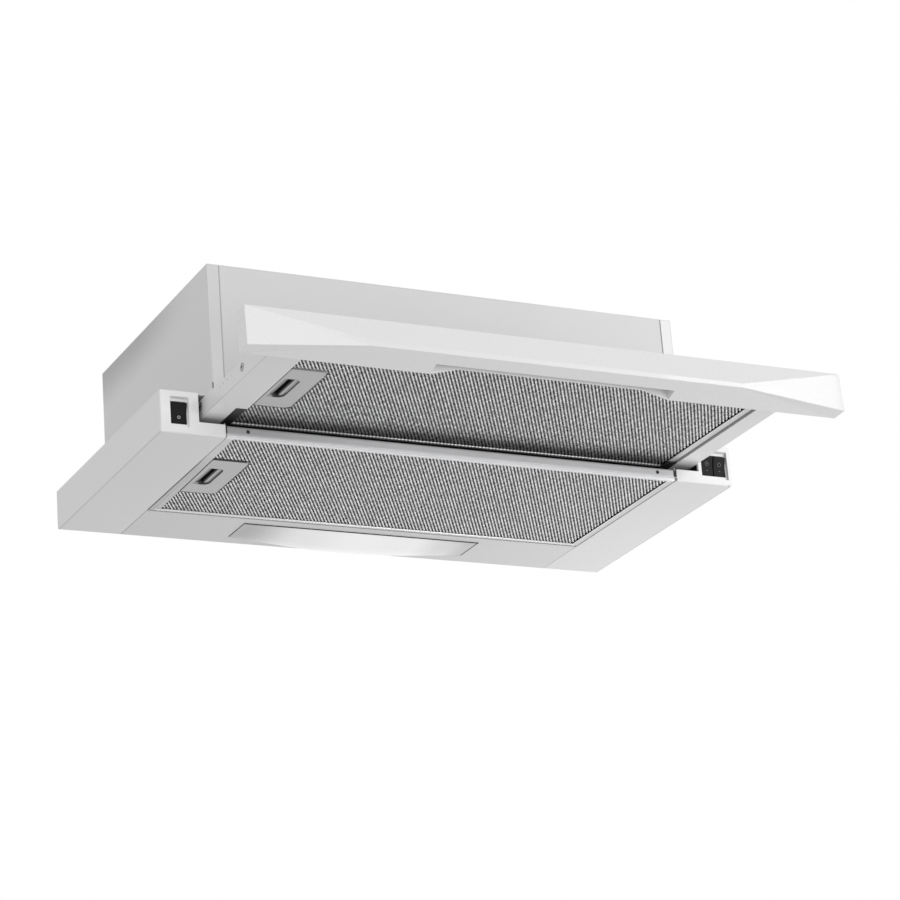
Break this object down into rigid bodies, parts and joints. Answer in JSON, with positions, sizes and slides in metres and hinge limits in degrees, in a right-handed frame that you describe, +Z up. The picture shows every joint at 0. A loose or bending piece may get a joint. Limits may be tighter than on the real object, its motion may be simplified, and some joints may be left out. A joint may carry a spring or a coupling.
{
  "type": "pull out range hood",
  "caption": "Slim telescopic range hood with a pull-out filter drawer, a fixed filter, a lamp, rocker switches and a blower housing that goes up into a cabinet.",
  "frame": {"origin": "centre of the four cabinet fixing holes, on the top face of the base's two side wings", "axes": "+X to the right as seen from the front, -Y to the front where the drawer pulls out, +Z up into the cabinet"},
  "size_m": [0.598, 0.4952, 0.2075],
  "materials": {
    "painted_sheet": "white baked enamel, semi-gloss",
    "white_plastic": "white moulded plastic, satin",
    "zinc_steel": "zinc plated",
    "black_plastic": "black moulded plastic",
    "rocker_plastic": "black gloss plastic with white marks",
    "brass_parts": "plain stamped brass",
    "lens_plastic": "opal white plastic",
    "reflector_sheet": "bright aluminium sheet",
    "lamp_glass": "frosted glass",
    "filter_aluminium": "expanded and folded aluminium",
    "grey_plastic": "grey moulded plastic",
    "rubber_parts": "moulded rubber"
  },
  "bodies": {
    "hood": {"base_side_left": "painted_sheet", "base_side_right": "painted_sheet", "lamp_panel": "painted_sheet", "side_panel_left": "painted_sheet", "side_panel_right": "painted_sheet", "front_panel": "painted_sheet", "back_panel": "painted_sheet", "top_panel": "painted_sheet", "bezel_left": "white_plastic", "bezel_right": "white_plastic", "crossbar": "zinc_steel", "lamp_switch_body": "black_plastic", "fan_switch_body": "black_plastic", "switch_terminals": "brass_parts", "lamp_lens": "lens_plastic", "lamp_reflector": "reflector_sheet", "lamp_holder": "white_plastic", "lamp_bulb": "lamp_glass", "fixed_filter_frame": "filter_aluminium", "fixed_filter_mesh": "filter_aluminium", "fixed_filter_handle": "grey_plastic", "fixed_filter_spring": "zinc_steel", "slide_fixed_left": "zinc_steel", "slide_fixed_right": "zinc_steel", "scroll_left": "grey_plastic", "scroll_right": "grey_plastic", "motor": "zinc_steel", "motor_bracket": "zinc_steel", "motor_mounts": "rubber_parts", "capacitor": "black_plastic", "terminal_box": "black_plastic", "cable_gland": "black_plastic", "duct_collar": "black_plastic", "collar_screws": "zinc_steel", "panel_screws": "zinc_steel"},
    "drawer": {"arm_left": "painted_sheet", "arm_right": "painted_sheet", "drawer_front_rail": "painted_sheet", "drawer_rear_rail": "zinc_steel", "front_strip": "white_plastic", "filter_pads": "black_plastic", "slide_moving_left": "zinc_steel", "slide_moving_right": "zinc_steel", "slide_screws": "zinc_steel", "drawer_filter_frame": "filter_aluminium", "drawer_filter_mesh": "filter_aluminium", "drawer_filter_handle": "grey_plastic", "drawer_filter_spring": "zinc_steel"},
    "lamp_switch": {"lamp_rocker": "rocker_plastic"},
    "power_switch": {"power_rocker": "rocker_plastic"},
    "speed_switch": {"speed_rocker": "rocker_plastic"},
    "fixed_latch": {"fixed_filter_latch": "grey_plastic"},
    "drawer_latch": {"drawer_filter_latch": "grey_plastic"},
    "rotor": {"impeller": "black_plastic", "motor_shaft": "zinc_steel"},
    "cage_left": {"ball_cage_left": "brass_parts"},
    "cage_right": {"ball_cage_right": "brass_parts"},
    "front_flap": {"flap_front": "grey_plastic"},
    "rear_flap": {"flap_rear": "grey_plastic"}
  },
  "joints": [
    {"name": "drawer_slide", "type": "slide", "parent": "hood", "child": "drawer", "axis": [0, 1, 0], "range_m": [0, 0.184]},
    {"name": "cage_left_slide", "type": "slide", "parent": "hood", "child": "cage_left", "axis": [0, 1, 0], "range_m": [0, 0.092]},
    {"name": "cage_right_slide", "type": "slide", "parent": "hood", "child": "cage_right", "axis": [0, 1, 0], "range_m": [0, 0.092]},
    {"name": "lamp_switch_tilt", "type": "hinge", "parent": "hood", "child": "lamp_switch", "pos_m": [-0.28053, -0.134, -0.02], "axis": [-1, 0, 0], "range_deg": [0, 14]},
    {"name": "power_switch_tilt", "type": "hinge", "parent": "hood", "child": "power_switch", "pos_m": [0.28053, -0.134, -0.02], "axis": [-1, 0, 0], "range_deg": [0, 14]},
    {"name": "speed_switch_tilt", "type": "hinge", "parent": "hood", "child": "speed_switch", "pos_m": [0.28053, -0.134, -0.02], "axis": [-1, 0, 0], "range_deg": [0, 14]},
    {"name": "fixed_latch_slide", "type": "slide", "parent": "hood", "child": "fixed_latch", "axis": [1, 0, 0], "range_m": [0, 0.006], "stiffness_N_per_m": 200, "springref_m": -0.002, "deforming": ["fixed_filter_spring"]},
    {"name": "drawer_latch_slide", "type": "slide", "parent": "drawer", "child": "drawer_latch", "axis": [1, 0, 0], "range_m": [0, 0.006], "stiffness_N_per_m": 200, "springref_m": -0.002, "deforming": ["drawer_filter_spring"]},
    {"name": "impeller_spin", "type": "hinge", "parent": "hood", "child": "rotor", "pos_m": [0, -0.029, 0.062], "axis": [1, 0, 0], "continuous": true},
    {"name": "front_flap_hinge", "type": "hinge", "parent": "hood", "child": "front_flap", "pos_m": [0, 0.0059, 0.1391], "axis": [-1, 0, 0], "range_deg": [0, 75]},
    {"name": "rear_flap_hinge", "type": "hinge", "parent": "hood", "child": "rear_flap", "pos_m": [0, 0.0111, 0.1391], "axis": [1, 0, 0], "range_deg": [0, 75]}
  ],
  "couplings": [
    {"joint": "cage_left_slide", "follows": "drawer_slide", "ratio": 0.5},
    {"joint": "cage_right_slide", "follows": "drawer_slide", "ratio": 0.5}
  ]
}
